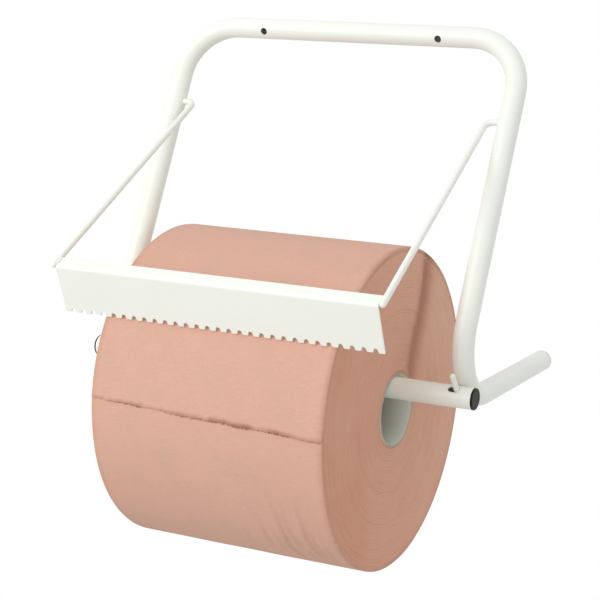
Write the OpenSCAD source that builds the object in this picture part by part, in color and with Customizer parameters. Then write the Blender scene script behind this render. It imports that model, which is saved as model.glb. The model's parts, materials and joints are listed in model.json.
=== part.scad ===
// Wall-mounted dispenser for a wide paper roll: a bent tube frame, a lift-off axle,
// a swinging toothed tear-off blade and the roll itself.
// Millimetres. Origin on the wall, midway between the two screw holes.
// X runs along the roll, +Y goes into the wall, +Z is up.

/* [Tube frame] */
// Outside diameter of the frame's tube
tube_d = 20; // [18:0.5:26]
// Wall of the frame's tube and of the axle
tube_wall = 1.5; // [1:0.1:2.5]
// Distance between the centre lines of the two legs
leg_spacing = 355; // [300:1:440]
// Length of the legs' straight run between their bends
leg_straight = 220; // [180:1:270]
// Angle by which the legs lean away from the wall
leg_lean = 40; // [32:0.5:48]
// Angle by which the feet fall towards the wall
foot_fall = 14.222; // [5:0.001:20]
// Centre-line radius of all the tube's bends
bend_r = 52; // [42:1:64]
// Distance between the two screw holes
screw_spacing = 186; // [140:1:225]
// Diameter of the screw holes
screw_d = 7; // [5:0.5:9]
// Distance from the wall to the tube's end, filled by the foot plugs' domed heads
foot_plug_head = 7; // [5:0.5:9]
// Height of those heads' straight rim
foot_plug_rim = 2; // [1:0.5:4]

/* [Axle] */
// Outside diameter of the axle
axle_d = 20; // [16:0.5:25]
// Length of the axle past each leg's centre line, with its end plug
axle_overhang = 22.5; // [18:0.5:45]
// Sideways place of the axle's middle, where it has slid along its slots
axle_shift = -6; // [-8:0.5:2]
// Angle below the bend's middle at which the axle lies against the bend
axle_drop = 22; // [10:1:30]
// Sideways play of the hooks in the axle's slots
slot_travel = 6; // [3:0.5:9]
// Thickness of the end plugs' heads
plug_head = 2; // [1.5:0.1:4]
// Length of the end plugs' shanks
plug_shank = 10; // [6:1:12]

/* [Hooks] */
// Diameter of the hooks' rod
hook_d = 5; // [4:0.1:5.6]
// Centre-line radius of the hooks' elbow
hook_bend_r = 5; // [4:0.5:6]
// Height of a hook's tip above the axle
hook_rise = 20; // [10:1:30]
// Forward lean of a hook's upright
hook_lean = 22; // [15:1:28]

/* [Blade and arms] */
// Distance of the arms' pivots from the top bar's axis, along the legs
pivot_drop = 82; // [72:1:110]
// Diameter of the arms' rod
arm_d = 6; // [5:0.1:7]
// Distance from the pivots to the front of the blade
arm_len = 268; // [245:1:330]
// Gap between a leg and the straight part of its arm
arm_inset = 8.5; // [7:0.5:9]
// Centre-line radius of the arms' elbow
arm_bend_r = 8; // [7:0.5:10]
// Angle by which the arms splay outwards on their way to the blade
arm_splay = 1.472; // [0:0.001:3]
// Height of the blade, from its fold to the tips of its teeth
blade_h = 48; // [36:1:56]
// Depth of the blade's folded top flange
flange_depth = 13; // [9:0.5:18]
// Thickness of the blade's sheet
sheet_t = 1.5; // [1:0.1:2.5]
// Inside radius of the blade's fold
fold_r = 2; // [1:0.5:4]
// Angle between the flange and the blade's face
fold_angle = 98.315; // [90:0.001:100]
// Distance from one tooth to the next
tooth_pitch = 10.8; // [8:0.1:14]
// Depth of the notches between the teeth
notch_depth = 4.2; // [3:0.1:6]
// Radius of the notches' round ends
notch_r = 2.3; // [1.5:0.1:3]
// Width of a tooth's tip
tooth_tip = 5; // [2:0.5:7]

/* [Paper roll] */
// Diameter of the full roll
roll_d = 300; // [200:1:360]
// Width of the roll
roll_w = 234; // [180:1:281]
// Sideways place of the roll's middle on the axle
roll_shift = -2; // [-10:1:10]
// Inside diameter of the cardboard core
core_bore = 66; // [50:1:80]
// Wall of the cardboard core
core_wall = 2; // [1.5:0.5:4]
// Rounding of the roll's outer edges
roll_edge_r = 3; // [1:0.5:6]
// Thickness of the loose outer sheet at its torn edge
loose_sheet = 1; // [0.6:0.1:2]
// Angle of the torn edge below the roll's middle, at the front
torn_edge_drop = -17.5; // [-30:0.5:30]

/* [Clearances] */
// Gap between round pieces that lie against each other
seat_gap = 0.3; // [0.2:0.05:0.5]
// Gap between a hook and each long side of its slot
slot_play = 0.7; // [0.5:0.1:1.2]
// Play round a pin that turns in its hole
pin_play = 0.08; // [0.02:0.01:0.1]
// Gap between the blade and the roll it rests on
blade_gap = 0.5; // [0.3:0.1:1]
// Play round a plug's shank in its tube
plug_play = 0.1; // [0.05:0.05:0.2]
// Gap between the axle and the hooks' elbows under it
hook_gap = 0.9; // [0.8:0.1:2]

/* [Hidden] */
$fn = 72;
past = 1;
far = 1000;
white = "#f3f2ec";
black = "#1b1b1c";
paper = "#e3a98d";
card = "#d9d5cb";

tube_r = tube_d / 2;
axle_r = axle_d / 2;
hook_r = hook_d / 2;
arm_r = arm_d / 2;
roll_r = roll_d / 2;
leg_x = leg_spacing / 2;

// The frame's outline, seen from the side as [y, z]
bar_y = -tube_r;
foot_turn = 90 + leg_lean - foot_fall;
leg_end = bend_r + leg_straight;
function leaning(y, z) = [
    bar_y + y * cos(leg_lean) + z * sin(leg_lean),
    z * cos(leg_lean) - y * sin(leg_lean)
];
function along(a) = [cos(a), sin(a)];
bend_at = leaning(bend_r, -leg_end);
foot_at = bend_at + bend_r * along(180 + foot_turn - leg_lean);
foot_run = -foot_at[0] / cos(foot_fall);
foot_tube_len = foot_run - foot_plug_head;

// The axle lies against both bends, and the roll hangs from the axle
axle_at = bend_at + (bend_r + tube_r + axle_r + seat_gap) * along(180 + axle_drop);
axle_tube_len = leg_spacing + 2 * (axle_overhang - plug_head);
core_r = core_bore / 2;
core_out_r = core_r + core_wall;
roll_at = axle_at - [0, core_r - axle_r - seat_gap];
wound_r = roll_r - loose_sheet;
sheet_w = roll_w - 2 * roll_edge_r;

// The hooks stand on the bends and rise through the axle's slots
hook_up = along(90 + hook_lean);
hook_back = along(hook_lean);
hook_elbow = axle_at - (axle_r + hook_r + hook_gap) * hook_up;
slot_w = hook_d + 2 * slot_play;
hook_slot_shift = slot_travel / 2 - seat_gap;

// The arms turn in the legs, and the blade's teeth come down on the roll
pivot_at = leaning(0, -pivot_drop);
arm_x = leg_x - tube_r - arm_inset - arm_r;
blade_end_x = arm_x + (arm_len - flange_depth) * tan(arm_splay) - arm_r;
blade_w = 2 * blade_end_x;
arm_turn = 90 + arm_splay;
arm_tangent = arm_bend_r * tan(arm_turn / 2);
arm_straight = arm_len / cos(arm_splay) - arm_tangent;
fold_out_r = fold_r + sheet_t;
fold_at = [-(arm_len - fold_out_r), sheet_t / 2 - fold_out_r];
fold_turn = 180 - fold_angle;
face_dir = along(180 + fold_turn);
face_in = along(fold_turn - 90);
face_h = blade_h - fold_out_r;
face_at = fold_at + fold_out_r * along(90 + fold_turn);
tooth_back = face_at + face_h * face_dir + sheet_t * face_in;
pivot_to_roll = roll_at - pivot_at;
resting = acos((pivot_to_roll * pivot_to_roll + tooth_back * tooth_back
    - pow(roll_r + blade_gap, 2)) / (2 * norm(pivot_to_roll) * norm(tooth_back)));
arm_slope = atan2(pivot_to_roll[1], pivot_to_roll[0]) - resting
    - atan2(tooth_back[1], tooth_back[0]);
notches = floor((blade_w - tooth_tip) / tooth_pitch);

// A point of the side view, carried sideways to x
module at_side(p, x = 0) {
    translate([x, p[0], p[1]]) children();
}

// Lays an arc about z over to turn about x, from angle a0 on
module side_turn(a0) {
    rotate([90, 0, 90]) rotate([0, 0, a0]) children();
}

// Turns a profile about z from the x axis on, its two ends cut square
module arc(turn) {
    spare = 5;
    difference() {
        rotate_extrude(angle = turn + 2 * spare, start = -spare) children();
        translate([0, -far, -far / 2]) cube(far);
        rotate([0, 0, turn]) translate([0, 0, -far / 2]) cube(far);
    }
}

// Round stock in section, hollow where wall is given
module stock(d, wall = 0) {
    difference() {
        circle(d = d);
        if (wall > 0) circle(d = d - 2 * wall);
    }
}

module bend(r, d, turn, wall = 0) {
    arc(turn) translate([r, 0]) stock(d, wall);
}

// The ends of a bend, with z leading away from it
module before_bend(r) {
    translate([r, 0, 0]) rotate([90, 0, 0]) children();
}
module after_bend(r, turn) {
    rotate([0, 0, turn]) translate([r, 0, 0]) rotate([-90, 0, 0]) children();
}

module tube(h) {
    linear_extrude(h) stock(tube_d, tube_wall);
}

// A rod up z with a domed end
module rod(d, h) {
    rotate_extrude() {
        square([d / 2, h - d / 2]);
        translate([0, h - d / 2]) intersection() {
            circle(d = d);
            square(d);
        }
    }
}

module both_sides() {
    children();
    mirror([1, 0, 0]) children();
}

// The tube, from foot to foot
module frame_run() {
    bar_len = leg_spacing - 2 * bend_r;
    translate([0, bar_y, 0]) rotate([-leg_lean, 0, 0]) {
        translate([-bar_len / 2, 0, 0]) rotate([0, 90, 0]) tube(bar_len);
        both_sides() {
            translate([leg_x - bend_r, 0, -bend_r]) rotate([90, 0, 0]) bend(bend_r, tube_d, 90, tube_wall);
            translate([leg_x, 0, -leg_end]) tube(leg_straight);
            translate([leg_x, bend_r, -leg_end]) side_turn(180) {
                bend(bend_r, tube_d, foot_turn, tube_wall);
                after_bend(bend_r, foot_turn) tube(foot_tube_len);
            }
        }
    }
}

// The right foot's own frame: z runs along the foot, from shift past the bend
module foot_end(shift) {
    at_side(foot_at, leg_x) rotate([-90 - foot_fall, 0, 0]) translate([0, 0, shift]) children();
}

module screw_holes() {
    for (x = [-1, 1] * screw_spacing / 2)
        translate([x, past, 0]) rotate([90, 0, 0]) cylinder(d = screw_d, h = tube_d + 2 * past);
}

module pivot_holes() {
    both_sides() at_side(pivot_at, leg_x - tube_r - past)
        rotate([0, 90, 0]) cylinder(r = arm_r + pin_play, h = tube_r + past);
}

module frame_tube() {
    color(white) difference() {
        frame_run();
        screw_holes();
        pivot_holes();
    }
}

// A domed plug for the right foot, flat where it meets the wall
module foot_plug() {
    dome_r = norm([tube_r, foot_plug_rim]);
    color(white) intersection() {
        foot_end(foot_tube_len) {
            intersection() {
                cylinder(r = tube_r, h = 2 * foot_plug_head);
                sphere(r = dome_r);
            }
            translate([0, 0, -plug_shank])
                cylinder(r = tube_r - tube_wall - plug_play, h = plug_shank + past);
        }
        translate([0, -far, -far / 2]) cube(far);
    }
}
module foot_plug_left() { mirror([1, 0, 0]) foot_plug(); }
module foot_plug_right() { foot_plug(); }

// One bent rod: out of the bend, round its elbow and up through the axle
module hook() {
    stub = norm(hook_elbow - bend_at) - bend_r;
    upright = norm(hook_elbow - axle_at) - hook_bend_r + axle_r + hook_rise;
    color(white) difference() {
        at_side(hook_elbow, leg_x) rotate([hook_lean, 0, 0]) translate([0, hook_bend_r, hook_bend_r])
            side_turn(180) {
                before_bend(hook_bend_r) rod(hook_d, upright);
                bend(hook_bend_r, hook_d, 90);
                after_bend(hook_bend_r, 90) cylinder(d = hook_d, h = stub);
            }
        at_side(bend_at, leg_x) side_turn(180 - leg_lean) bend(bend_r, tube_d, foot_turn);
    }
}
module hook_left() { mirror([1, 0, 0]) hook(); }
module hook_right() { hook(); }

// A slot through both walls of the axle, along the hook at x
module hook_slot(x) {
    reach = slot_travel / 2 - slot_play;
    at_side(axle_at, x - hook_slot_shift) rotate([hook_lean, 0, 0]) {
        for (s = [-1, 1]) translate([s * reach, 0, 0]) cylinder(d = slot_w, h = 2 * axle_d, center = true);
        cube([2 * reach, slot_w, 2 * axle_d], center = true);
    }
}

module axle_tube() {
    color(white) difference() {
        at_side(axle_at, axle_shift) rotate([0, 90, 0]) difference() {
            cylinder(d = axle_d, h = axle_tube_len, center = true);
            cylinder(d = axle_d - 2 * tube_wall, h = axle_tube_len + 2 * past, center = true);
        }
        for (x = [-1, 1] * leg_x) hook_slot(x);
    }
}

// A plug with a softly rounded head, its shank pointing down from z = 0
module end_plug() {
    edge = plug_head / 2;
    color(black) rotate_extrude() {
        translate([0, -plug_shank]) square([axle_r - tube_wall - plug_play, plug_shank]);
        square([axle_r, plug_head - edge]);
        square([axle_r - edge, plug_head]);
        intersection() {
            translate([axle_r - edge, plug_head - edge]) circle(r = edge);
            square(axle_d);
        }
    }
}
module axle_plug_left() {
    at_side(axle_at, axle_shift - axle_tube_len / 2) rotate([0, -90, 0]) end_plug();
}
module axle_plug_right() {
    at_side(axle_at, axle_shift + axle_tube_len / 2) rotate([0, 90, 0]) end_plug();
}

// The arms' own frame: x along the pivots, -y along the arms, z square to both
module arm_frame() {
    at_side(pivot_at) rotate([arm_slope, 0, 0]) children();
}

// One bent rod: a pin in the leg, an elbow and a straight run to the blade's end
module arm() {
    elbow_x = arm_x + arm_tangent;
    pin_end = leg_x + tube_r - tube_wall - past;
    color(white) arm_frame() {
        translate([elbow_x, -arm_bend_r, 0]) rotate([0, 0, 90]) {
            before_bend(arm_bend_r) rod(arm_d, pin_end - elbow_x);
            bend(arm_bend_r, arm_d, arm_turn);
            after_bend(arm_bend_r, arm_turn) rod(arm_d, arm_straight);
        }
    }
}
module arm_left() { mirror([1, 0, 0]) arm(); }
module arm_right() { arm(); }

// One round-ended notch, open downwards, with its mouth at y = 0
module notch() {
    mouth = (tooth_pitch - tooth_tip) / 2;
    top = notch_depth - notch_r;
    translate([0, top]) circle(r = notch_r);
    polygon([[-mouth, -past], [mouth, -past], [mouth, 0], [notch_r, top], [-notch_r, top], [-mouth, 0]]);
}

// The outline of the blade's toothed face, its tips at y = 0
module toothed_face() {
    difference() {
        translate([-blade_end_x, 0]) square([blade_w, face_h]);
        for (i = [0:notches - 1])
            translate([(i - (notches - 1) / 2) * tooth_pitch, 0]) notch();
    }
}

// One sheet: the flange between the arms, the fold and the toothed face below it
module blade() {
    flange = flange_depth - fold_out_r;
    color(white) arm_frame() at_side(fold_at) side_turn(90) {
        translate([fold_r, -flange, -blade_end_x]) cube([sheet_t, flange, blade_w]);
        arc(fold_turn) translate([fold_r, -blade_end_x]) square([sheet_t, blade_w]);
        rotate([0, 0, fold_turn]) translate([fold_r, face_h, 0]) rotate([180, -90, 0])
            linear_extrude(sheet_t) toothed_face();
    }
}

// The roll's frame: z along the roll, from its middle
module roll_frame() {
    at_side(roll_at, roll_shift) rotate([0, 90, 0]) children();
}

module core_tube() {
    color(card) roll_frame() difference() {
        cylinder(r = core_out_r, h = roll_w, center = true);
        cylinder(r = core_r, h = roll_w + 2 * past, center = true);
    }
}

// The wound paper, its outer edges rounded
module paper_roll() {
    thick = wound_r - core_out_r;
    color(paper) roll_frame() rotate_extrude() {
        translate([core_out_r, -roll_w / 2]) square([thick - roll_edge_r, roll_w]);
        translate([core_out_r, -sheet_w / 2]) square([thick, sheet_w]);
        for (s = [-1, 1]) translate([wound_r - roll_edge_r, s * sheet_w / 2]) circle(r = roll_edge_r);
    }
}

// The last turn of paper: full thickness at its torn edge, thinning out towards the back,
// where it ends at back_reach
module outer_sheet() {
    back_reach = 0.85 * roll_r;
    color(paper) at_side(roll_at, roll_shift) rotate([180 + torn_edge_drop, 0, 0]) difference() {
        intersection() {
            translate([0, loose_sheet / 2, 0]) rotate([0, 90, 0])
                cylinder(r = roll_r - loose_sheet / 2, h = sheet_w, center = true);
            translate([-far / 2, -back_reach, -far]) cube(far);
        }
        rotate([0, 90, 0]) cylinder(r = wound_r, h = roll_w, center = true);
    }
}

frame_tube();
foot_plug_left();
foot_plug_right();
hook_left();
hook_right();
axle_tube();
axle_plug_left();
axle_plug_right();
arm_left();
arm_right();
blade();
core_tube();
paper_roll();
outer_sheet();
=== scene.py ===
import json
import math

import bpy
import numpy as np
from mathutils import Matrix, Vector

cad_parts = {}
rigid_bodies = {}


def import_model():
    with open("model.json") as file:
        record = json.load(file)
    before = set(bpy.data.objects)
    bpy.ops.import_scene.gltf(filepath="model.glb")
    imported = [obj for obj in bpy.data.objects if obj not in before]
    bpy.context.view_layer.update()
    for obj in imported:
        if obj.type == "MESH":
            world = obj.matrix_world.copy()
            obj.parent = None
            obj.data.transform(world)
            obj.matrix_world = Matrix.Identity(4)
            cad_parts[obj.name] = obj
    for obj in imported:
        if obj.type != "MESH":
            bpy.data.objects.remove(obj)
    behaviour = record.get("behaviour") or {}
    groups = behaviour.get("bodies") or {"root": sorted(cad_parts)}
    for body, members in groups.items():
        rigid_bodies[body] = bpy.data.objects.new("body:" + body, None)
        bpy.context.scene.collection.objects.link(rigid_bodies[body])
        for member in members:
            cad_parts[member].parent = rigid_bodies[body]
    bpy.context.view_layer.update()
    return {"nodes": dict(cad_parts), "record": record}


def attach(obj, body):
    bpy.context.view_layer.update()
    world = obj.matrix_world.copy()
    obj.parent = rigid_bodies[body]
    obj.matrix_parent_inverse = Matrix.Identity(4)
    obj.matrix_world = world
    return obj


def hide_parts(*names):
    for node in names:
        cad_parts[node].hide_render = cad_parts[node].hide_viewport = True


for leftover in list(bpy.data.objects):
    bpy.data.objects.remove(leftover)
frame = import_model()
print("frame loaded:", len(frame["nodes"]), "nodes")

mm = 0.001
joints = {joint["name"]: joint for joint in frame["record"]["behaviour"]["joints"]}
rollAxis = Vector(joints["roll_spin"]["pos_m"])  # a point on the axis that the roll turns on
pivotAxis = Vector(joints["bail_swing"]["pos_m"])  # the same for the blade's arms


def linear(hexText):
    # sRGB hex to linear, with alpha
    parts = [int(hexText[i:i + 2], 16) / 255 for i in (1, 3, 5)]
    return [c / 12.92 if c <= 0.04045 else ((c + 0.055) / 1.055) ** 2.4 for c in parts] + [1.0]


def put(tree, kind, sockets=None, **settings):
    # adds a node; a socket's value is another node's output or a plain value
    node = tree.nodes.new(kind)
    for key, value in settings.items():
        setattr(node, key, value)
    for key, value in (sockets or {}).items():
        if isinstance(value, bpy.types.NodeSocket):
            tree.links.new(value, node.inputs[key])
        else:
            node.inputs[key].default_value = value
    return node


view = {
    "place": (0.74123, -1.47213, 0.4452),
    "heading": 29.58,  # degrees to the left of +Y
    "tilt": 23.75,  # degrees below level
    "bank": -5.84,  # degrees about the line of sight
    "focalPx": 1736.59,
    "imagePx": 600,
    "sensorMm": 36,
    "clipEnd": 100,
}


def makeCamera():
    heading, tilt, bank = (math.radians(view[key]) for key in ("heading", "tilt", "bank"))
    ahead = Vector((
        -math.sin(heading) * math.cos(tilt),
        math.cos(heading) * math.cos(tilt),
        -math.sin(tilt),
    ))
    level = Vector((math.cos(heading), math.sin(heading), 0))
    upright = level.cross(ahead)
    right = math.cos(bank) * level + math.sin(bank) * upright
    up = math.cos(bank) * upright - math.sin(bank) * level
    data = bpy.data.cameras.new("photoCamera")
    data.sensor_width = view["sensorMm"]
    data.lens = view["focalPx"] / view["imagePx"] * data.sensor_width
    data.clip_end = view["clipEnd"]
    camera = bpy.data.objects.new("photoCamera", data)
    bpy.context.collection.objects.link(camera)
    turned = Matrix((right, up, -ahead)).transposed().to_4x4()
    camera.matrix_world = Matrix.Translation(view["place"]) @ turned
    bpy.context.scene.camera = camera


studio = {
    "ambient": 0.835,
    "keyFrom": (-1.0, -2.15, 1.3),  # low enough that the blade's white flange doesn't clip
    "keyAim": (0.0, -0.2, -0.25),
    "keySize": 1.4,
    "keyWatts": 27.5,
    "floorZ": -1.8,  # well below the part, which hangs on a wall
    "floorHalf": 30,
    "floorTone": "#DADAD6",
    "white": (1, 1, 1, 1),
}


def whiteToTheEye(tree, lit, shown, outputKind):
    # camera, mirror and glass rays meet plain white, all other light meets the lit shader
    path = put(tree, "ShaderNodeLightPath").outputs
    seen = path["Is Camera Ray"]
    for ray in ("Is Glossy Ray", "Is Transmission Ray"):
        seen = put(tree, "ShaderNodeMath", {0: seen, 1: path[ray]}, operation="MAXIMUM").outputs[0]
    mix = put(tree, "ShaderNodeMixShader", {0: seen, 1: lit.outputs[0], 2: shown.outputs[0]})
    put(tree, outputKind, {"Surface": mix.outputs[0]})


def makeStudio():
    scene = bpy.context.scene
    scene.view_settings.view_transform = "Standard"
    white = studio["white"]
    world = bpy.data.worlds.new("studioWorld")
    scene.world = world
    world.use_nodes = True
    tree = world.node_tree
    tree.nodes.clear()
    sky = put(tree, "ShaderNodeBackground", {"Color": white, "Strength": studio["ambient"]})
    shown = put(tree, "ShaderNodeBackground", {"Color": white, "Strength": 1.0})
    whiteToTheEye(tree, sky, shown, "ShaderNodeOutputWorld")

    lamp = bpy.data.lights.new("softKey", "AREA")
    lamp.shape = "SQUARE"
    lamp.size = studio["keySize"]
    lamp.energy = studio["keyWatts"]
    key = bpy.data.objects.new("softKey", lamp)
    bpy.context.collection.objects.link(key)
    key.location = studio["keyFrom"]
    aim = Vector(studio["keyAim"]) - key.location
    key.rotation_euler = aim.to_track_quat("-Z", "Y").to_euler()

    paint = bpy.data.materials.new("paleFloor")
    paint.use_nodes = True
    tree = paint.node_tree
    tree.nodes.clear()
    dull = put(tree, "ShaderNodeBsdfDiffuse", {"Color": linear(studio["floorTone"])})
    glow = put(tree, "ShaderNodeEmission", {"Color": white, "Strength": 1.0})
    whiteToTheEye(tree, dull, glow, "ShaderNodeOutputMaterial")
    half, z = studio["floorHalf"], studio["floorZ"]
    corners = [(-half, -half, z), (half, -half, z), (half, half, z), (-half, half, z)]
    mesh = bpy.data.meshes.new("floor")
    mesh.from_pydata(corners, [], [(0, 1, 2, 3)])
    mesh.materials.append(paint)
    floor = bpy.data.objects.new("floor", mesh)
    bpy.context.collection.objects.link(floor)


makeCamera()
makeStudio()
print("camera and studio made")

fac, toneA, toneB, mixed = 0, 6, 7, 2  # a colour mix's sockets: share, both tones and the result
waveRing = math.tau / 20  # the scale at which a wave texture has one ring for each metre


def startFinish(name):
    material = bpy.data.materials.new(name)
    material.use_nodes = True
    tree = material.node_tree
    tree.nodes.clear()
    return material, tree, put(tree, "ShaderNodeTexCoord").outputs["Object"]


def endFinish(tree, sockets):
    shader = put(tree, "ShaderNodeBsdfPrincipled", sockets)
    put(tree, "ShaderNodeOutputMaterial", {"Surface": shader.outputs[0]})


wornEdge = {
    "samples": 6,
    "facing": (0.97, 0.75),  # cosine between the rounded and true normals: where wear begins, and is full
    "patchDetail": 4.0,
}


def edgeMask(tree, coords, radiusMm, patchMm):
    # 1 along edges, in patches: the rounded normal leaves the true one only near an edge
    soft = put(tree, "ShaderNodeBevel", {"Radius": radiusMm * mm}, samples=wornEdge["samples"])
    true = put(tree, "ShaderNodeNewGeometry")
    same = put(tree, "ShaderNodeVectorMath", {0: soft.outputs[0], 1: true.outputs["Normal"]},
               operation="DOT_PRODUCT")
    begins, full = wornEdge["facing"]
    edge = put(tree, "ShaderNodeMapRange", {
        "Value": same.outputs["Value"], "From Min": begins, "From Max": full})
    patch = put(tree, "ShaderNodeTexNoise", {
        "Vector": coords, "Scale": 1 / (patchMm * mm), "Detail": wornEdge["patchDetail"]})
    worn = put(tree, "ShaderNodeMath", {0: edge.outputs[0], 1: patch.outputs[0]}, operation="MULTIPLY")
    return worn.outputs[0]


coat = {
    "tone": "#F2F5EF",
    "cloudTone": "#EDF0E8",
    "edgeTone": "#CDCEC6",
    "cloudMm": 70.0,
    "cloudDetail": 3.0,
    "cloudSpan": (0.3, 0.7),
    "edgeMm": 0.9,
    "edgePatchMm": 9,
    "peelMm": 3.0,  # real orange peel is about 1 mm; coarser so that it shows
    "peelDetail": 1.5,
    "peelBump": (0.25, 0.25),  # strength, and depth in mm
    "roughness": (0.31, 0.42),
    "ior": 1.5,
}


def powderCoat():
    # polyester powder coat on steel: warm white satin, slightly pebbled, thin and greyer along edges
    material, tree, coords = startFinish("polyesterPowderCoat")
    cloud = put(tree, "ShaderNodeTexNoise", {
        "Vector": coords, "Scale": 1 / (coat["cloudMm"] * mm), "Detail": coat["cloudDetail"]})
    tone = put(tree, "ShaderNodeMix", {
        fac: cloud.outputs[0], toneA: linear(coat["tone"]), toneB: linear(coat["cloudTone"]),
    }, data_type="RGBA")
    worn = edgeMask(tree, coords, coat["edgeMm"], coat["edgePatchMm"])
    tone = put(tree, "ShaderNodeMix", {
        fac: worn, toneA: tone.outputs[mixed], toneB: linear(coat["edgeTone"])}, data_type="RGBA")
    gloss = put(tree, "ShaderNodeMapRange", {
        "Value": cloud.outputs[0], "From Min": coat["cloudSpan"][0], "From Max": coat["cloudSpan"][1],
        "To Min": coat["roughness"][0], "To Max": coat["roughness"][1]})
    peel = put(tree, "ShaderNodeTexNoise", {
        "Vector": coords, "Scale": 1 / (coat["peelMm"] * mm), "Detail": coat["peelDetail"]})
    strength, depth = coat["peelBump"]
    bump = put(tree, "ShaderNodeBump", {
        "Height": peel.outputs[0], "Strength": strength, "Distance": depth * mm})
    endFinish(tree, {"Base Color": tone.outputs[mixed], "Roughness": gloss.outputs[0],
                     "Normal": bump.outputs[0], "IOR": coat["ior"]})
    return material


plug = {
    "light": {"tone": "#E6E7E2", "otherTone": "#DCDDD6", "rubbedTone": "#C9CAC2",
              "roughness": 0.42, "shine": 0.5},
    "black": {"tone": "#232423", "otherTone": "#0B0C0C", "rubbedTone": "#4A4B49",
              "roughness": 0.45, "shine": 0.18},
    "cloudMm": 6,
    "cloudDetail": 4.0,
    "rubbedMm": 0.8,
    "rubbedPatchMm": 3,
    "grainMm": 1.2,  # the mould's grain is some 0.1 mm; coarser so that it shows
    "grainDetail": 2.0,
    "grainBump": (0.25, 0.1),  # strength, and depth in mm
    "roughnessSpread": 0.08,
    "ior": 1.51,
}


def mouldedPlug(kind):
    # injection-moulded polyethylene: waxy, with the mould's spark-eroded grain, rubbed along its rim
    own = plug[kind]
    material, tree, coords = startFinish(kind + "Polyethylene")
    cloud = put(tree, "ShaderNodeTexNoise", {
        "Vector": coords, "Scale": 1 / (plug["cloudMm"] * mm), "Detail": plug["cloudDetail"]})
    tone = put(tree, "ShaderNodeMix", {
        fac: cloud.outputs[0], toneA: linear(own["tone"]), toneB: linear(own["otherTone"]),
    }, data_type="RGBA")
    worn = edgeMask(tree, coords, plug["rubbedMm"], plug["rubbedPatchMm"])
    tone = put(tree, "ShaderNodeMix", {
        fac: worn, toneA: tone.outputs[mixed], toneB: linear(own["rubbedTone"])}, data_type="RGBA")
    grain = put(tree, "ShaderNodeTexNoise", {
        "Vector": coords, "Scale": 1 / (plug["grainMm"] * mm), "Detail": plug["grainDetail"]})
    dull = put(tree, "ShaderNodeMapRange", {
        "Value": grain.outputs[0], "To Min": own["roughness"] - plug["roughnessSpread"],
        "To Max": own["roughness"] + plug["roughnessSpread"]})
    strength, depth = plug["grainBump"]
    bump = put(tree, "ShaderNodeBump", {
        "Height": grain.outputs[0], "Strength": strength, "Distance": depth * mm})
    endFinish(tree, {"Base Color": tone.outputs[mixed], "Roughness": dull.outputs[0],
                     "Normal": bump.outputs[0], "IOR": plug["ior"], "Specular IOR Level": own["shine"]})
    return material


card = {
    "tone": "#F4F5EA",
    "otherTone": "#E8E8DC",
    "seamTone": "#BFBDAF",
    "endTone": "#B5A691",
    "deepShadeTone": "#A2A295",  # painted shade deep inside the core
    "deepMm": (114.0, 64.0),  # where the painted shade begins and is full, to each side of x = 0
    "endFacing": (0.5, 0.9),  # how far a face turns towards the roll's axis to count as a cut end
    "seamPitchMm": 78.0,  # one turn of the spiral ply
    "seamShare": 0.025,  # of the pitch
    "fibreMm": 2.0,  # paper fibres are finer; coarser so that they show
    "fibreDetail": 5.0,
    "plyMm": 0.7,
    "plyDistortion": 1.0,
    "bump": (0.3, 0.2),  # strength, and depth in mm
    "roughness": 0.9,
    "shine": 0.2,
}


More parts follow.
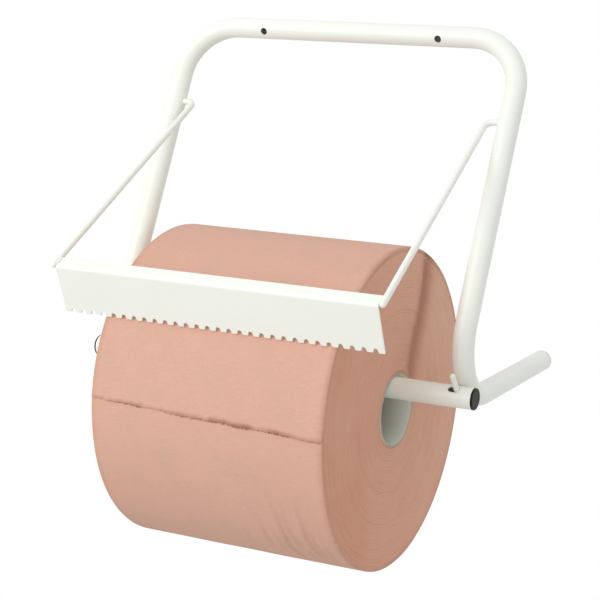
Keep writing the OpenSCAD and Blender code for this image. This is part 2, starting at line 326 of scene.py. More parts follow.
def coreCard():
    # spirally wound grey card: dull, mottled by fibres, with one winding seam and plies on its cut ends
    material, tree, coords = startFinish("spiralWoundCard")
    centred = put(tree, "ShaderNodeMapping", {"Vector": coords, "Location": -rollAxis})
    split = put(tree, "ShaderNodeSeparateXYZ", {0: centred.outputs[0]})
    fibre = put(tree, "ShaderNodeTexNoise", {
        "Vector": coords, "Scale": 1 / (card["fibreMm"] * mm), "Detail": card["fibreDetail"]})
    tone = put(tree, "ShaderNodeMix", {
        fac: fibre.outputs[0], toneA: linear(card["tone"]), toneB: linear(card["otherTone"]),
    }, data_type="RGBA")
    turn = put(tree, "ShaderNodeMath", {0: split.outputs["Y"], 1: split.outputs["Z"]}, operation="ARCTAN2")
    turns = put(tree, "ShaderNodeMath", {0: turn.outputs[0], 1: math.tau}, operation="DIVIDE")
    along = put(tree, "ShaderNodeMath", {0: split.outputs["X"], 1: card["seamPitchMm"] * mm},
                operation="DIVIDE")
    phase = put(tree, "ShaderNodeMath", {0: turns.outputs[0], 1: along.outputs[0]}, operation="ADD")
    saw = put(tree, "ShaderNodeMath", {0: phase.outputs[0], 1: 0.0, 2: 1.0}, operation="WRAP")
    seam = put(tree, "ShaderNodeMapRange", {
        "Value": saw.outputs[0], "From Min": card["seamShare"], "From Max": 0.0})
    # painted shade darkens the inside, away from the ends
    inside = put(tree, "ShaderNodeMath", {0: split.outputs["X"]}, operation="ABSOLUTE")
    deep = put(tree, "ShaderNodeMapRange", {
        "Value": inside.outputs[0], "From Min": card["deepMm"][0] * mm, "From Max": card["deepMm"][1] * mm})
    # the cut ends show the darker board under the facing
    normal = put(tree, "ShaderNodeNewGeometry").outputs["True Normal"]
    facing = put(tree, "ShaderNodeSeparateXYZ", {0: normal})
    facing = put(tree, "ShaderNodeMath", {0: facing.outputs["X"]}, operation="ABSOLUTE")
    isEnd = put(tree, "ShaderNodeMapRange", {
        "Value": facing.outputs[0], "From Min": card["endFacing"][0], "From Max": card["endFacing"][1]})
    for share, toneName in ((seam, "seamTone"), (deep, "deepShadeTone"), (isEnd, "endTone")):
        tone = put(tree, "ShaderNodeMix", {
            fac: share.outputs[0], toneA: tone.outputs[mixed], toneB: linear(card[toneName]),
        }, data_type="RGBA")
    plies = put(tree, "ShaderNodeTexWave", {
        "Vector": centred.outputs[0], "Scale": waveRing / (card["plyMm"] * mm),
        "Distortion": card["plyDistortion"]}, wave_type="RINGS", rings_direction="X")
    height = put(tree, "ShaderNodeMath", {0: plies.outputs["Fac"], 1: fibre.outputs[0]}, operation="ADD")
    strength, depth = card["bump"]
    bump = put(tree, "ShaderNodeBump", {
        "Height": height.outputs[0], "Strength": strength, "Distance": depth * mm})
    endFinish(tree, {"Base Color": tone.outputs[mixed], "Normal": bump.outputs[0],
                     "Roughness": card["roughness"], "Specular IOR Level": card["shine"]})
    return material


paper = {
    "tone": "#D9AC99",
    "otherTone": "#D3A693",
    "greyTone": "#D0A996",
    "rimTone": "#C08870",
    "soilAndShadeTone": "#A2705A",  # matted fibres and painted shadow along the torn edge, and painted shade in the wrinkles
    "blotchMm": 55.0,
    "blotchDetail": 4.0,
    "blotchRoughness": 0.6,
    "greyMm": 27.5,
    "greyDetail": 2.0,
    "greySpan": (0.52, 0.78),  # only the noise's peaks are grey
    "rimMm": (110, 117),  # from the roll's middle
    "crepeMm": (9.0, 1.9),  # along and across the ridges; real crepe is some 0.4 mm, coarser so that it shows
    "crepeDetail": 3.0,
    "fibreMm": 2.5,
    "fibreDetail": 3.0,
    "shadeSpan": (0.7, 1.3),
    "shade": (0.965, 1.03),
    "bump": (0.35, 0.25),  # strength, and depth in mm
    "roughness": 0.95,
    "shine": 0.15,
    "sheen": (0.06, 0.5),  # weight and roughness
}


def crepePaper():
    # wet-creped wiping paper: soft and dull, with fine ridges across the web and a blotchy dye,
    # soiled and painted with shadow where it is torn, and painted with shade in its wrinkles
    material, tree, coords = startFinish("crepedWipingPaper")
    web = put(tree, "ShaderNodeUVMap", uv_map="web").outputs[0]
    blotch = put(tree, "ShaderNodeTexNoise", {
        "Vector": coords, "Scale": 1 / (paper["blotchMm"] * mm), "Detail": paper["blotchDetail"],
        "Roughness": paper["blotchRoughness"]})
    tone = put(tree, "ShaderNodeMix", {
        fac: blotch.outputs[0], toneA: linear(paper["tone"]), toneB: linear(paper["otherTone"]),
    }, data_type="RGBA")
    grey = put(tree, "ShaderNodeTexNoise", {
        "Vector": coords, "Scale": 1 / (paper["greyMm"] * mm), "Detail": paper["greyDetail"]})
    few = put(tree, "ShaderNodeMapRange", {
        "Value": grey.outputs[0], "From Min": paper["greySpan"][0], "From Max": paper["greySpan"][1]})
    # the rims are a little darker, in patches
    inward = put(tree, "ShaderNodeSeparateXYZ", {0: web})
    inward = put(tree, "ShaderNodeMath", {0: inward.outputs["X"]}, operation="ABSOLUTE")
    rim = put(tree, "ShaderNodeMapRange", {
        "Value": inward.outputs[0], "From Min": paper["rimMm"][0] * mm, "From Max": paper["rimMm"][1] * mm})
    rim = put(tree, "ShaderNodeMath", {0: rim.outputs[0], 1: blotch.outputs[0]}, operation="MULTIPLY")
    # the fold attribute paints matted fibres and shadow along the torn edge, and shade in the wrinkles
    soilAndShade = put(tree, "ShaderNodeAttribute", attribute_name="fold")
    shares = ((few.outputs[0], "greyTone"), (rim.outputs[0], "rimTone"), (soilAndShade.outputs["Fac"], "soilAndShadeTone"))
    for share, toneName in shares:
        tone = put(tree, "ShaderNodeMix", {
            fac: share, toneA: tone.outputs[mixed], toneB: linear(paper[toneName])}, data_type="RGBA")
    stretch = [1 / (size * mm) for size in paper["crepeMm"]] + [1.0]
    ridgeAt = put(tree, "ShaderNodeVectorMath", {0: web, 1: stretch}, operation="MULTIPLY")
    ridge = put(tree, "ShaderNodeTexNoise", {
        "Vector": ridgeAt.outputs[0], "Scale": 1.0, "Detail": paper["crepeDetail"]})
    fibre = put(tree, "ShaderNodeTexNoise", {
        "Vector": coords, "Scale": 1 / (paper["fibreMm"] * mm), "Detail": paper["fibreDetail"]})
    both = put(tree, "ShaderNodeMath", {0: ridge.outputs[0], 1: fibre.outputs[0]}, operation="ADD")
    shade = put(tree, "ShaderNodeMapRange", {
        "Value": both.outputs[0], "From Min": paper["shadeSpan"][0], "From Max": paper["shadeSpan"][1],
        "To Min": paper["shade"][0], "To Max": paper["shade"][1]})
    tone = put(tree, "ShaderNodeVectorMath", {0: tone.outputs[mixed], "Scale": shade.outputs[0]},
               operation="SCALE")
    strength, depth = paper["bump"]
    bump = put(tree, "ShaderNodeBump", {
        "Height": both.outputs[0], "Strength": strength, "Distance": depth * mm})
    endFinish(tree, {"Base Color": tone.outputs[0], "Normal": bump.outputs[0],
                     "Roughness": paper["roughness"], "Specular IOR Level": paper["shine"],
                     "Sheen Weight": paper["sheen"][0], "Sheen Roughness": paper["sheen"][1]})
    return material


cutEdge = {
    "tone": "#E0B49E",
    "otherTone": "#D8A189",
    "foldShadeTone": "#BA8874",  # painted shade in the fold across the right end, on the torn edge and on the torn fibres
    "blotchMm": 90,
    "blotchDetail": 2.0,
    "frontMm": (100, -100),  # from the wall's side to the front
    "frontShare": (-0.35, 0.35),
    "turnMm": 1.6,  # the turns are 0.2 mm; coarser so that they show
    "turnDetail": (3.0, 2.0),  # of the noise that breaks the rings up, and that noise's scale
    "turnDistortion": 3.0,
    "fibreMm": 3,
    "fibreDetail": 4.0,
    "shadeSpan": (0.4, 1.5),
    "shade": (0.955, 1.04),
    "bump": (0.25, 0.25),  # strength, and depth in mm
    "roughness": 1.0,
    "shine": 0.1,
}


def cutPaper():
    # the cut edges of the same paper: deeper in colour, ringed by the turns, with painted shade in a fold
    material, tree, coords = startFinish("woundPaperEdges")
    centred = put(tree, "ShaderNodeMapping", {"Vector": coords, "Location": -rollAxis})
    blotch = put(tree, "ShaderNodeTexNoise", {
        "Vector": coords, "Scale": 1 / (cutEdge["blotchMm"] * mm), "Detail": cutEdge["blotchDetail"]})
    # redder towards the front, and in patches
    split = put(tree, "ShaderNodeSeparateXYZ", {0: centred.outputs[0]})
    front = put(tree, "ShaderNodeMapRange", {
        "Value": split.outputs["Y"],
        "From Min": cutEdge["frontMm"][0] * mm, "From Max": cutEdge["frontMm"][1] * mm,
        "To Min": cutEdge["frontShare"][0], "To Max": cutEdge["frontShare"][1]}, clamp=False)
    patch = put(tree, "ShaderNodeMath", {0: front.outputs[0], 1: blotch.outputs[0]},
                operation="ADD", use_clamp=True)
    tone = put(tree, "ShaderNodeMix", {
        fac: patch.outputs[0], toneA: linear(cutEdge["tone"]), toneB: linear(cutEdge["otherTone"]),
    }, data_type="RGBA")
    # painted shade, by the fold attribute
    fold = put(tree, "ShaderNodeAttribute", attribute_name="fold")
    tone = put(tree, "ShaderNodeMix", {
        fac: fold.outputs["Fac"], toneA: tone.outputs[mixed], toneB: linear(cutEdge["foldShadeTone"]),
    }, data_type="RGBA")
    detail, detailScale = cutEdge["turnDetail"]
    rings = put(tree, "ShaderNodeTexWave", {
        "Vector": centred.outputs[0], "Scale": waveRing / (cutEdge["turnMm"] * mm), "Detail": detail,
        "Detail Scale": detailScale, "Distortion": cutEdge["turnDistortion"],
    }, wave_type="RINGS", rings_direction="X")
    fibre = put(tree, "ShaderNodeTexNoise", {
        "Vector": coords, "Scale": 1 / (cutEdge["fibreMm"] * mm), "Detail": cutEdge["fibreDetail"]})
    both = put(tree, "ShaderNodeMath", {0: rings.outputs["Fac"], 1: fibre.outputs[0]}, operation="ADD")
    shade = put(tree, "ShaderNodeMapRange", {
        "Value": both.outputs[0], "From Min": cutEdge["shadeSpan"][0], "From Max": cutEdge["shadeSpan"][1],
        "To Min": cutEdge["shade"][0], "To Max": cutEdge["shade"][1]})
    tone = put(tree, "ShaderNodeVectorMath", {0: tone.outputs[mixed], "Scale": shade.outputs[0]},
               operation="SCALE")
    strength, depth = cutEdge["bump"]
    bump = put(tree, "ShaderNodeBump", {
        "Height": both.outputs[0], "Strength": strength, "Distance": depth * mm})
    endFinish(tree, {"Base Color": tone.outputs[0], "Normal": bump.outputs[0],
                     "Roughness": cutEdge["roughness"], "Specular IOR Level": cutEdge["shine"]})
    return material


finishes = {
    "coat": powderCoat(),
    "light": mouldedPlug("light"),
    "black": mouldedPlug("black"),
    "card": coreCard(),
    "paper": crepePaper(),
    "cut": cutPaper(),
}
print("finishes made:", len(finishes))

# CAD nodes whose shape is right keep it and take a finish
nodeFinish = {
    "frame_tube": "coat", "hook_left": "coat", "hook_right": "coat", "axle_tube": "coat",
    "arm_left": "coat", "arm_right": "coat", "blade": "coat",
    "foot_plug_left": "light", "foot_plug_right": "light",
    "axle_plug_left": "black", "axle_plug_right": "black", "core_tube": "card",
}
for nodeName, finishName in nodeFinish.items():
    for slot in frame["nodes"][nodeName].material_slots:
        slot.material = finishes[finishName]


def meshPiece(name, verts, faces, materials, faceMaterial):
    mesh = bpy.data.meshes.new(name)
    mesh.from_pydata([tuple(v) for v in verts], [], [tuple(f) for f in faces])
    for material in materials:
        mesh.materials.append(material)
    mesh.polygons.foreach_set("material_index", np.asarray(faceMaterial, dtype=np.int32))
    mesh.shade_smooth()
    mesh.update()
    piece = bpy.data.objects.new(name, mesh)
    bpy.context.collection.objects.link(piece)
    return piece


def cornerVerts(mesh):
    corner = np.empty(len(mesh.loops), dtype=np.int32)
    mesh.loops.foreach_get("vertex_index", corner)
    return corner


def wander(seed, count, low, high, spread):
    # a smooth random wave in two directions, mostly from -1 to 1: a few sines with fixed random directions
    draw = np.random.default_rng(seed)
    waves = []
    for _ in range(count):
        size = draw.uniform(low, high)
        angle = draw.uniform(0, math.tau)
        waves.append((math.cos(angle) / size, math.sin(angle) / size * spread, draw.uniform(0, math.tau)))
    return lambda a, b: sum(np.sin(math.tau * (u * a + v * b) + p) for u, v, p in waves) / math.sqrt(count)


# the wound paper, in mm
roll = {
    "centre": (-0.002, rollAxis.y, rollAxis.z),  # in metres
    "radius": 149.0,
    "bore": 35.05,
    "halfWidth": 117.0,
    "edgeRound": 1.8,
    "around": 360,
    "acrossSteps": (41, 78),  # left of the wrinkles, and through them
    "wrinklesFrom": 15.0,
    "endSteps": 43,
    "edgeSteps": 5,
    "boreSteps": 8,
    "endUneven": 0.45,  # how far the turns stand out of line
    "endSpan": (30, 155),  # radii between which they are drawn
    "endKnots": (140, 14),  # single turns and bands of turns
    "endShares": (0.25, 0.45, 0.6, 1.3),  # of turns, bands and slow waves, and the mean
    "endWaves": (5, 60, 140, 1.0),  # count, shortest, longest and spread
    "endWaveSeed": 5,
    "sideUneven": 0.5,
    "sideShares": (0.45, 0.3),  # the mean, and of the slow waves
    "sideWaves": (6, 45, 130, 0.7),
    "sideWaveSeed": 21,
    "pressed": 0.15,  # dent under the torn edge
    "pressedAt": (0.5, 0.7),  # degrees below the edge, and half its width
    "seed": 11,
}

# the fold in the right end: a dent, with painted shade along it
foldShape = {
    "depth": 3.2,
    "half": 13.5,
    # radius, and the angle from straight up towards the wall
    "line": ((35, 71), (41, 65), (58, 55), (76, 50.5), (100, 47.4), (123, 44.5), (143, 41), (149, 40)),
    "fadeIn": (30, 14),  # from this radius, over this length
    "fadeOut": (151, 10, 0.6),  # to this radius, over this length, to no less than this share
}

# the wrinkles round the lower right: dents, with painted shade in their valleys
wrinkleShape = {
    # x from the roll's middle, from and to in degrees above the front, depth
    "lines": ((24, -24, -44, 0.5), (43, -14, -42, 0.8), (55, -20, -46, 0.5),
              (62, -4, -50, 0.9), (71.5, -8, -38, 0.8), (78, -24, -48, 0.6),
              (86, -5, -46, 1.0), (92.5, -12, -48, 0.8), (101, -18, -50, 0.5)),
    "half": 2.7,
    "drift": -0.14,  # to the right for each degree up
    "sway": (1.2, 5),  # to each side, and the degrees for each radian of its wave
    "fade": (18, 10),  # degrees at the top and at the foot
    "ridge": (1.7, 0.4),  # half widths to the left of the valley, and share of its depth
    # share of painted shade in each valley, by its depth
    "soilAndShade": 0.16,
}

# the last turn of paper, in mm
sheet = {
    "halfWidth": 116.0,
    "tornAt": 17.5,  # degrees above the front, at the middle
    "tornSlant": -0.0143,  # degrees for each mm to the right
    "reach": 205.0,  # degrees over the roll to where it lies flat
    "across": 170,
    "rows": 96,
    "rowCrowding": 1.9,  # rows lie closer near the torn edge
    "gap": 0.06,
    "thick": 0.9,
    "thickShares": (0.4, 0.6, 25),  # everywhere, added at the torn edge, and how far that reaches
    "thinnest": 0.05,
    "lift": (0.3, 7),  # curl of the torn edge, and how far it reaches
    "ripple": (0.05, 120),
    "rippleWaves": (7, 14, 60, 0.5),
    "rippleSeed": 3,
    "sideTaper": 1.8,
    "sideSink": (0.7, 8),  # at the sides, growing over this length from the torn edge
    "backTaper": 16,  # degrees
    "backSink": 0.5,
    "ragged": 1.1,
    "raggedShares": (0.7, 0.35),  # long waves and short nibbles
    "nicks": (0.94, 0.6),  # a draw above the first makes one, and its share of ragged
    "knots": {"long": 15, "curl": 22, "soilAndShade": 45},
    # how matted the torn edge is and how much painted shadow lies along it, by x from the roll's middle
    "soilAndShade": ((-116, 0.25), (-100, 0.35), (-85, 0.65), (-66, 0.65), (-58, 0.3), (-46, 0.4),
             (-35, 0.6), (-8, 0.6), (2, 0.45), (12, 0.85), (45, 0.9), (52, 0.6),
             (62, 0.5), (70, 0.95), (82, 0.85), (90, 0.45), (104, 0.6), (116, 0.5)),
    "soilAndShadeUneven": (0.75, 1.15),
    "soilAndShadeReach": (1.6, 1.7, 3),  # least, added where it is soiled and shadowed, and how sharply the band ends
    "sharpDegrees": 50,
    "seed": 31,
}


def onRoll(x, r, angle):
    # points in metres from x and r in mm; angle is above the front
    centre = roll["centre"]
    y, z = -r * np.cos(angle), r * np.sin(angle)
    return np.stack([centre[0] + x * mm, centre[1] + y * mm, centre[2] + z * mm], -1)


def rollEnd(side, r, angle):
    # how far the cut turns stand in from the roll's end, and how deep in the fold they are, which also sets
    # the fold's painted shade;
    # angle is from +Z to +Y
    draw = np.random.default_rng(roll["seed"] + side)
    turns, bands = (np.interp(r, np.linspace(*roll["endSpan"], count), draw.uniform(-1, 1, count))
                    for count in roll["endKnots"])
    slow = wander(roll["seed"] + roll["endWaveSeed"] + side, *roll["endWaves"])
    slow = slow(r * np.sin(angle), r * np.cos(angle))
    turnShare, bandShare, slowShare, mean = roll["endShares"]
    depth = roll["endUneven"] * (turnShare * turns + bandShare * bands + slowShare * slow + mean)
    fold = np.zeros_like(depth)
    if side > 0:
        line = np.array(foldShape["line"], dtype=float)
        middle = np.radians(np.interp(r, line[:, 0], line[:, 1]))
        off = r * ((angle - middle + math.pi) % math.tau - math.pi)
        inFrom, inOver = foldShape["fadeIn"]
        outTo, outOver, least = foldShape["fadeOut"]
        ends = np.clip((r - inFrom) / inOver, 0, 1) * np.clip((outTo - r) / outOver, least, 1)
        fold = np.exp(-((off / foldShape["half"]) ** 2)) * ends
        depth = depth + foldShape["depth"] * fold
    return depth, fold


def rollSide(x, angle):
    # how far the outer turn lies below the roll's radius, and how much painted shade its wrinkles take; angle
    # is above the front
    slow = wander(roll["seed"] + roll["sideWaveSeed"], *roll["sideWaves"])(x, roll["radius"] * angle)
    mean, slowShare = roll["sideShares"]
    depth = roll["sideUneven"] * np.clip(mean + slowShare * slow, 0, 1)
    degrees = (np.degrees(angle) + 180) % 360 - 180
    soilAndShade = np.zeros_like(depth)
    sway, swayBy = wrinkleShape["sway"]
    topFade, footFade = wrinkleShape["fade"]
    ridgeOff, ridgeShare = wrinkleShape["ridge"]
    for at, top, low, deep in wrinkleShape["lines"]:
        off = x - at - wrinkleShape["drift"] * (degrees - top) - sway * np.sin(degrees / swayBy + at)
        run = np.clip((top - degrees) / topFade, 0, 1) * np.clip((degrees - low) / footFade, 0, 1)
        valley = run * np.exp(-((off / wrinkleShape["half"]) ** 2))
        ridge = run * np.exp(-((off / wrinkleShape["half"] + ridgeOff) ** 2))
        depth = depth + deep * (valley - ridgeShare * ridge)
        # painted shade in each wrinkle's valley
        soilAndShade = soilAndShade + wrinkleShape["soilAndShade"] * deep * valley
    below, halfPress = roll["pressedAt"]
    under = degrees - sheet["tornAt"] - sheet["tornSlant"] * x
    press = np.exp(-(((under + below) / halfPress) ** 2)) * (np.abs(x) < sheet["halfWidth"])
    return depth + roll["pressed"] * press, soilAndShade


def rollSection():
    # the roll's section, once round from the left end's bore: x, r and which of the four sides it is
    half, bore, radius, edge = (roll[key] for key in ("halfWidth", "bore", "radius", "edgeRound"))
    radii = np.linspace(bore, radius - edge, roll["endSteps"])
    corner = np.linspace(0, math.pi / 2, roll["edgeSteps"] + 1)[1:]
    plain, wrinkled = roll["acrossSteps"]
    start = roll["wrinklesFrom"]
    section = [(-half, r, "left") for r in radii]
    section += [(-half + edge - edge * math.cos(t), radius - edge + edge * math.sin(t), "outside")
                for t in corner]
    section += [(x, radius, "outside") for x in np.linspace(-half + edge, start, plain)[1:]]
    section += [(x, radius, "outside") for x in np.linspace(start, half - edge, wrinkled)[1:]]
    section += [(half - edge + edge * math.sin(t), radius - edge + edge * math.cos(t), "outside")
                for t in corner]
    section += [(half, r, "right") for r in radii[::-1][1:]]
    section += [(x, bore, "bore") for x in np.linspace(half, -half, roll["boreSteps"])[1:-1]]
    return (np.array(column) for column in zip(*section))


def woundPaper():
    half, radius, edge, around = (roll[key] for key in ("halfWidth", "radius", "edgeRound", "around"))
    sx, sr, kind = rollSection()
    count = len(sx)
    x = np.repeat(sx[None], around, 0)
    r = np.repeat(sr[None], around, 0)
    a = np.repeat(np.linspace(0, math.tau, around, endpoint=False)[:, None], count, 1)  # above the front
    fromTop = a - math.pi / 2  # from +Z to +Y
    fold = np.zeros_like(x)
    for side, at in ((-1, kind == "left"), (1, kind == "right")):
        depth, inFold = rollEnd(side, r[:, at], fromTop[:, at])
        x[:, at] -= side * depth
        fold[:, at] = inFold
    # the rounded corners carry on from the end's depth to the side's
    outside = kind == "outside"
    for side in (-1, 1):
        corners = outside & (side * sx > half - edge)
        share = (side * x[:, corners] - (half - edge)) / edge
        depth, inFold = rollEnd(side, np.full_like(share, radius - edge), fromTop[:, corners])
        x[:, corners] -= side * depth * share
        fold[:, corners] = inFold * share
    depth, soilAndShade = rollSide(x[:, outside], a[:, outside])
    r[:, outside] -= depth
    # the wrinkles' painted shade joins the fold attribute
    fold[:, outside] += soilAndShade
    index = np.arange(around * count).reshape(around, count)
    nextRow, nextCol = np.roll(index, -1, 0), np.roll(index, -1, 1)
    faces = np.stack([index, nextCol, np.roll(nextRow, -1, 1), nextRow], -1).reshape(-1, 4)
    inBore = kind == "bore"
    ends = (kind == "left") | (kind == "right")
    isCut = inBore | (ends & np.roll(ends | inBore, -1))
    piece = meshPiece("paperRoll", onRoll(x, r, a).reshape(-1, 3), faces,
                      [finishes["paper"], finishes["cut"]], np.tile(isCut, around))
    mesh = piece.data
    # the web's own map, in metres across and round; the last row of faces runs on past one turn
    web = mesh.uv_layers.new(name="web")
    uvs = np.stack([x * mm, radius * mm * a], -1).reshape(-1, 2)
    loopUv = uvs[cornerVerts(mesh)].reshape(-1, 4, 2)
    wrapped = loopUv[:, :, 1] < radius * mm / 2
    lastRow = (np.arange(len(loopUv)) // count) == around - 1
    loopUv[:, :, 1] += np.where(wrapped & lastRow[:, None], math.tau * radius * mm, 0)
    web.data.foreach_set("uv", loopUv.reshape(-1))
    # the fold attribute holds painted shade, in the right end's fold and in the wrinkles
    mesh.attributes.new("fold", "FLOAT", "POINT").data.foreach_set("value", fold.reshape(-1))
    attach(piece, "roll")
    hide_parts("paper_roll")
    return piece


paperRoll = woundPaper()
print("wound paper made:", len(paperRoll.data.polygons), "faces")


def tornEdge():
    # by x: the torn edge's angle above the front, how far it curls up, and how soiled and painted with shadow
    # it is
    half, knots, across = sheet["halfWidth"], sheet["knots"], sheet["across"]
    draw = np.random.default_rng(sheet["seed"])
    xs = np.linspace(-half, half, across)
    # long waves, short nibbles and a few deeper nicks
    long = np.interp(xs, np.linspace(-half, half, knots["long"]), draw.uniform(-1, 1, knots["long"]))
    short = draw.uniform(-1, 1, across)
    above, deep = sheet["nicks"]
    nick = np.where(draw.uniform(0, 1, across) > above, deep, 0)
    longShare, shortShare = sheet["raggedShares"]
    torn = sheet["ragged"] * (longShare * long + shortShare * short + nick)
    start = np.radians(sheet["tornAt"] + sheet["tornSlant"] * xs) + torn / roll["radius"]
    curl = np.interp(xs, np.linspace(-half, half, knots["curl"]), draw.uniform(0, 1, knots["curl"]))
    uneven = draw.uniform(*sheet["soilAndShadeUneven"], knots["soilAndShade"])
    soilAndShade = np.interp(xs, *zip(*sheet["soilAndShade"]))
    soilAndShade = soilAndShade * np.interp(xs, np.linspace(-half, half, knots["soilAndShade"]), uneven)
    return xs, start, curl, soilAndShade


def lastTurn():
    half, rows, across = sheet["halfWidth"], sheet["rows"], sheet["across"]
    xs, start, curl, soilAndShade = tornEdge()
    step = np.linspace(0, 1, rows) ** sheet["rowCrowding"]
    end = math.radians(sheet["tornAt"] + sheet["reach"])
    a = start[None] + (end - start[None]) * step[:, None]
    x = np.repeat(xs[None], rows, 0)
    arc = roll["radius"] * (a - start[None])
    ripple = wander(sheet["seed"] + sheet["rippleSeed"], *sheet["rippleWaves"])(x, arc)
    rippleHeight, rippleReach = sheet["ripple"]
    ripple = rippleHeight * (1 + np.clip(ripple, -1, 1)) * np.exp(-arc / rippleReach)
    lift, liftReach = sheet["lift"]
    r = roll["radius"] + sheet["gap"] + lift * curl[None] * np.exp(-arc / liftReach) + ripple
    # it lies down to nothing at both sides and at the back
    sides = np.clip((half - np.abs(x)) / sheet["sideTaper"], 0, 1)
    back = np.clip((end - a) / math.radians(sheet["backTaper"]), 0, 1)
    everywhere, added, thickReach = sheet["thickShares"]
    thick = sheet["thick"] * (everywhere + added * np.exp(-arc / thickReach))
    sink, sinkOver = sheet["sideSink"]
    sunk = sheet["backSink"] * (1 - back) + sink * (1 - sides) * np.clip(arc / sinkOver, 0, 1)
    top = r + thick * np.minimum(sides, back) - sunk
    bottom = np.minimum(r, top - sheet["thinnest"])
    upper = np.arange(rows * across).reshape(rows, across)
    lower = upper + rows * across
    faces = [np.stack([upper[:-1, :-1], upper[:-1, 1:], upper[1:, 1:], upper[1:, :-1]], -1),
             np.stack([lower[:-1, :-1], lower[1:, :-1], lower[1:, 1:], lower[:-1, 1:]], -1)]
    faces = [layer.reshape(-1, 4) for layer in faces]
    paperFaces = sum(len(layer) for layer in faces)
    for line, other in ((upper[0], lower[0]), (upper[-1][::-1], lower[-1][::-1]),
                        (upper[::-1, 0], lower[::-1, 0]), (upper[:, -1], lower[:, -1])):
        faces.append(np.stack([line[:-1], other[:-1], other[1:], line[1:]], -1))
    faces = np.concatenate(faces)
    verts = np.concatenate([onRoll(x, layer, a).reshape(-1, 3) for layer in (top, bottom)])
    piece = meshPiece("outerSheet", verts, faces, [finishes["paper"], finishes["cut"]],
                      np.arange(len(faces)) >= paperFaces)
    mesh = piece.data
    mesh.set_sharp_from_angle(angle=math.radians(sheet["sharpDegrees"]))
    web = mesh.uv_layers.new(name="web")
    uvs = np.tile(np.stack([x * mm, roll["radius"] * mm * a], -1).reshape(-1, 2), (2, 1))
    web.data.foreach_set("uv", uvs[cornerVerts(mesh)].reshape(-1))
    # the torn fibres are matted and soiled, with painted shadow along the edge and painted shade in full
    # underneath
    least, more, power = sheet["soilAndShadeReach"]
    fold = np.stack([soilAndShade * np.exp(-((arc / (least + more * soilAndShade)) ** power)), np.ones((rows, across))])
    mesh.attributes.new("fold", "FLOAT", "POINT").data.foreach_set("value", fold.reshape(-1))
    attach(piece, "roll")
    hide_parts("outer_sheet")
    return piece


outerSheet = lastTurn()
print("last turn made:", len(outerSheet.data.polygons), "faces")


ribNoise = {"detail": 2.0, "mean": 0.5}


def ribTree():
    # a rib swept along the path's edges, its radius rippled along it and uneven in patches
    tree = bpy.data.node_groups.new("ribAlongPath", "GeometryNodeTree")
    sockets = {}
    for label, kind in (("Path", "Geometry"), ("Step", "Float"), ("Radius", "Float"),
                        ("Ripple Length", "Float"), ("Ripple Depth", "Float"), ("Uneven", "Float"),
                        ("Patch Size", "Float"), ("Sides", "Int"), ("Seed", "Float"),
                        ("Finish", "Material")):
        made = tree.interface.new_socket(label, in_out="INPUT", socket_type="NodeSocket" + kind)
        sockets[label] = made.identifier
    tree.interface.new_socket("Rib", in_out="OUTPUT", socket_type="NodeSocketGeometry")
    given = put(tree, "NodeGroupInput").outputs
    path = put(tree, "GeometryNodeMeshToCurve", {"Mesh": given["Path"]})
    even = put(tree, "GeometryNodeResampleCurve", {"Curve": path.outputs[0], "Length": given["Step"]},
               mode="LENGTH")
    along = put(tree, "GeometryNodeSplineParameter")
    turns = put(tree, "ShaderNodeMath", {0: along.outputs["Length"], 1: given["Ripple Length"]},
                operation="DIVIDE")
    phase = put(tree, "ShaderNodeMath", {0: turns.outputs[0], 1: math.tau}, operation="MULTIPLY")
    wave = put(tree, "ShaderNodeMath", {0: phase.outputs[0]}, operation="SINE")
    ripple = put(tree, "ShaderNodeMath", {0: wave.outputs[0], 1: given["Ripple Depth"], 2: 1.0},
                 operation="MULTIPLY_ADD")
    where = put(tree, "GeometryNodeInputPosition")
    scale = put(tree, "ShaderNodeMath", {0: 1.0, 1: given["Patch Size"]}, operation="DIVIDE")
    noise = put(tree, "ShaderNodeTexNoise", {
        "Vector": where.outputs[0], "W": given["Seed"], "Scale": scale.outputs[0],
        "Detail": ribNoise["detail"]}, noise_dimensions="4D")
    patch = put(tree, "ShaderNodeMath", {0: noise.outputs[0], 1: ribNoise["mean"]}, operation="SUBTRACT")
    factor = put(tree, "ShaderNodeMath", {0: patch.outputs[0], 1: given["Uneven"], 2: ripple.outputs[0]},
                 operation="MULTIPLY_ADD")
    size = put(tree, "ShaderNodeMath", {0: factor.outputs[0], 1: given["Radius"]}, operation="MULTIPLY")
    ring = put(tree, "GeometryNodeCurvePrimitiveCircle", {"Resolution": given["Sides"], "Radius": 1.0})
    rib = put(tree, "GeometryNodeCurveToMesh", {
        "Curve": even.outputs[0], "Profile Curve": ring.outputs[0], "Scale": size.outputs[0],
        "Fill Caps": True})
    real = put(tree, "GeometryNodeRealizeInstances", {0: rib.outputs[0]})
    done = put(tree, "GeometryNodeSetMaterial", {"Geometry": real.outputs[0], "Material": given["Finish"]})
    put(tree, "NodeGroupOutput", {"Rib": done.outputs[0]})
    return tree, sockets


ribs, ribSockets = ribTree()


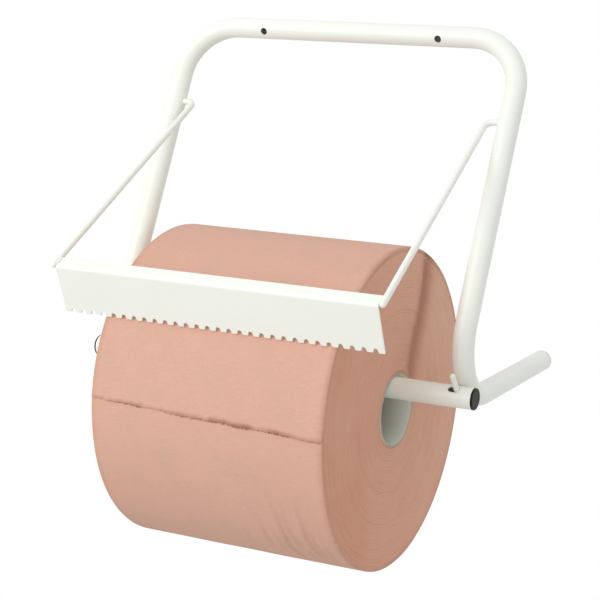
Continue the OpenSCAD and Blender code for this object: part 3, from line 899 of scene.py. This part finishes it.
def ribPiece(name, paths, settings, finish, fold=None):
    # paths are lists of points in metres, with True for a closed one; fold paints shade on the finish by
    # point
    verts, edges = [], []
    for points, closed in paths:
        first = len(verts)
        verts += [tuple(point) for point in points]
        edges += [(first + i, first + i + 1) for i in range(len(points) - 1)]
        if closed:
            edges.append((len(verts) - 1, first))
    mesh = bpy.data.meshes.new(name + "Path")
    mesh.from_pydata(verts, edges, [])
    if fold is not None:
        values = np.asarray(fold, dtype=np.float32)
        mesh.attributes.new("fold", "FLOAT", "POINT").data.foreach_set("value", values)
    host = bpy.data.objects.new(name + "Path", mesh)
    bpy.context.collection.objects.link(host)
    modifier = host.modifiers.new("rib", "NODES")
    modifier.node_group = ribs
    for label, value in settings.items():
        modifier[ribSockets[label]] = value
    modifier[ribSockets["Finish"]] = finish
    made = bpy.data.meshes.new_from_object(host.evaluated_get(bpy.context.evaluated_depsgraph_get()))
    bpy.data.objects.remove(host)
    made.shade_smooth()
    made.name = name
    piece = bpy.data.objects.new(name, made)
    bpy.context.collection.objects.link(piece)
    return piece


turnEdges = {
    "pitch": 2.9,  # mm; the real turns are 0.2 mm, and these are only the ones that stand proud
    "span": (37.0, 146.0),
    "stepDegrees": 3.0,
    "sunk": 0.12,
    "settings": {"Step": 3.5 * mm, "Radius": 0.3 * mm, "Ripple Length": 60 * mm, "Ripple Depth": 0.25,
                 "Uneven": 1.6, "Patch Size": 22 * mm, "Sides": 5, "Seed": 4.0},
}


def proudTurns(side, name):
    first, last = turnEdges["span"]
    turns = (last - first) / turnEdges["pitch"]
    angle = np.radians(np.arange(0, 360 * turns, turnEdges["stepDegrees"]))  # from +Z to +Y
    r = first + turnEdges["pitch"] * angle / math.tau
    depth, fold = rollEnd(side, r, angle)
    x = side * (roll["halfWidth"] - depth - turnEdges["sunk"])
    points = onRoll(x, r, angle + math.pi / 2)
    # the proud turns take the fold's painted shade
    piece = ribPiece(name, [(points, False)], turnEdges["settings"], finishes["cut"], fold)
    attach(piece, "roll")
    return piece


for side, name in ((-1, "proudTurnsLeft"), (1, "proudTurnsRight")):
    print("proud turns made:", len(proudTurns(side, name).data.polygons), "faces")

# sizes in mm; real fibres are finer, and these are coarser so that they show
fibres = {
    "count": 520,
    "longest": 2.6,
    "shortestShare": 0.3,
    "drift": 0.9,
    "driftPower": 1.5,
    "fromEnds": 2,
    "root": 0.5,  # starts this far up on the sheet
    "lift": 0.35,  # stands this far out at its root
    "sunk": 0.12,
    "along": (0, 0.4, 0.75, 1),
    "seed": 53,
    "settings": {"Step": 0.5 * mm, "Radius": 0.13 * mm, "Ripple Length": 1.1 * mm, "Ripple Depth": 0.2,
                 "Uneven": 0.8, "Patch Size": 3 * mm, "Sides": 4, "Seed": 2.0},
}


def tornFibres():
    # short fibres that hang from the torn edge and lie on the turn below, more of them where it is matted,
    # darkened with the edge's soil and painted shadow
    draw = np.random.default_rng(fibres["seed"])
    xs, start, _, soilAndShade = tornEdge()
    along = np.array(fibres["along"], dtype=float)
    paths, shade = [], []
    while len(paths) < fibres["count"]:
        x = draw.uniform(xs[0] + fibres["fromEnds"], xs[-1] - fibres["fromEnds"])
        mattedAndShaded = np.interp(x, xs, soilAndShade)
        length = fibres["longest"] * draw.uniform(fibres["shortestShare"], 1) * mattedAndShaded
        drift = fibres["drift"] * draw.uniform(-1, 1)
        if draw.uniform(0, 1) > mattedAndShaded:
            continue
        down = (fibres["root"] - (length + fibres["root"]) * along) / roll["radius"]
        r = roll["radius"] + fibres["lift"] * (1 - along) ** 2 - fibres["sunk"]
        points = onRoll(x + drift * along ** fibres["driftPower"], r, np.interp(x, xs, start) + down)
        paths.append((points, False))
        # each fibre takes half to all of the soil and painted shade, by how matted the edge is there
        shade += [(1 + mattedAndShaded) / 2] * len(points)
    piece = ribPiece("tornFibres", paths, fibres["settings"], finishes["cut"], shade)
    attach(piece, "roll")
    return piece


print("torn fibres made:", len(tornFibres().data.polygons), "faces")

# sizes in mm and angles in degrees, as in the CAD
weld = {
    "legX": 177.5,
    "bendAt": (-145.004, -241.789),  # the lower bends' middles, as (y, z)
    "bendR": 52.0,
    "tubeR": 10.0,
    "hookElbow": (-207.02, -281.297),
    "hookLean": 22.0,
    "hookR": 2.5,
    "hookGap": 0.45,  # from the rod to the bead's middle
    "hookPoints": 48,
    "walk": (25, 0.02),  # how far and in what steps a point looks for the tube
    "tubeGap": 0.15,
    "armSlope": 15.445,
    "armRun": (256.5, 264.0),  # from the pivots, along the arms
    "armPoints": 16,
    "flangeEndX": 159.5,
    "flangeHalf": 0.75,
    "flangeGap": 0.35,
    "settings": {"Step": 0.3 * mm, "Radius": 0.95 * mm, "Ripple Length": 1.3 * mm, "Ripple Depth": 0.12,
                 "Uneven": 0.5, "Patch Size": 4 * mm, "Sides": 8, "Seed": 9.0},
}


def hookWeld(side):
    # a loop where the hook's rod meets the bend, found by walking each point in to the tube's surface
    lean = math.radians(weld["hookLean"])
    inward = np.array([0, math.cos(lean), math.sin(lean)])
    across = np.array([0, -math.sin(lean), math.cos(lean)])
    sideways = np.array([1, 0, 0])
    start = np.array([0, *weld["hookElbow"]])
    bendY, bendZ = weld["bendAt"]
    loop = []
    for turn in np.linspace(0, math.tau, weld["hookPoints"], endpoint=False):
        around = math.cos(turn) * sideways + math.sin(turn) * across
        foot = start + (weld["hookR"] + weld["hookGap"]) * around
        for reach in np.arange(0, *weld["walk"]):
            x, y, z = foot + reach * inward
            radial = math.hypot(y - bendY, z - bendZ) - weld["bendR"]
            if math.hypot(radial, x) < weld["tubeR"] + weld["tubeGap"]:
                break
        loop.append((side * (weld["legX"] + x) * mm, y * mm, z * mm))
    return loop, True


def armWelds(side):
    # two short runs between the arm's rod and the flange, above and below it
    slope = math.radians(weld["armSlope"])
    runs = []
    for face in (-1, 1):
        lift = face * (weld["flangeHalf"] + weld["flangeGap"])
        points = []
        for along in np.linspace(*weld["armRun"], weld["armPoints"]):
            y = -along * math.cos(slope) - lift * math.sin(slope)
            z = -along * math.sin(slope) + lift * math.cos(slope)
            points.append((side * weld["flangeEndX"] * mm, pivotAxis.y + y * mm, pivotAxis.z + z * mm))
        runs.append((points, False))
    return runs


hookWelds = ribPiece("hookWelds", [hookWeld(-1), hookWeld(1)], weld["settings"], finishes["coat"])
bladeWelds = ribPiece("bladeWelds", armWelds(-1) + armWelds(1), weld["settings"], finishes["coat"])
for piece, body in ((hookWelds, "base"), (bladeWelds, "bail")):
    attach(piece, body)
print("welds made:", len(hookWelds.data.polygons) + len(bladeWelds.data.polygons), "faces")
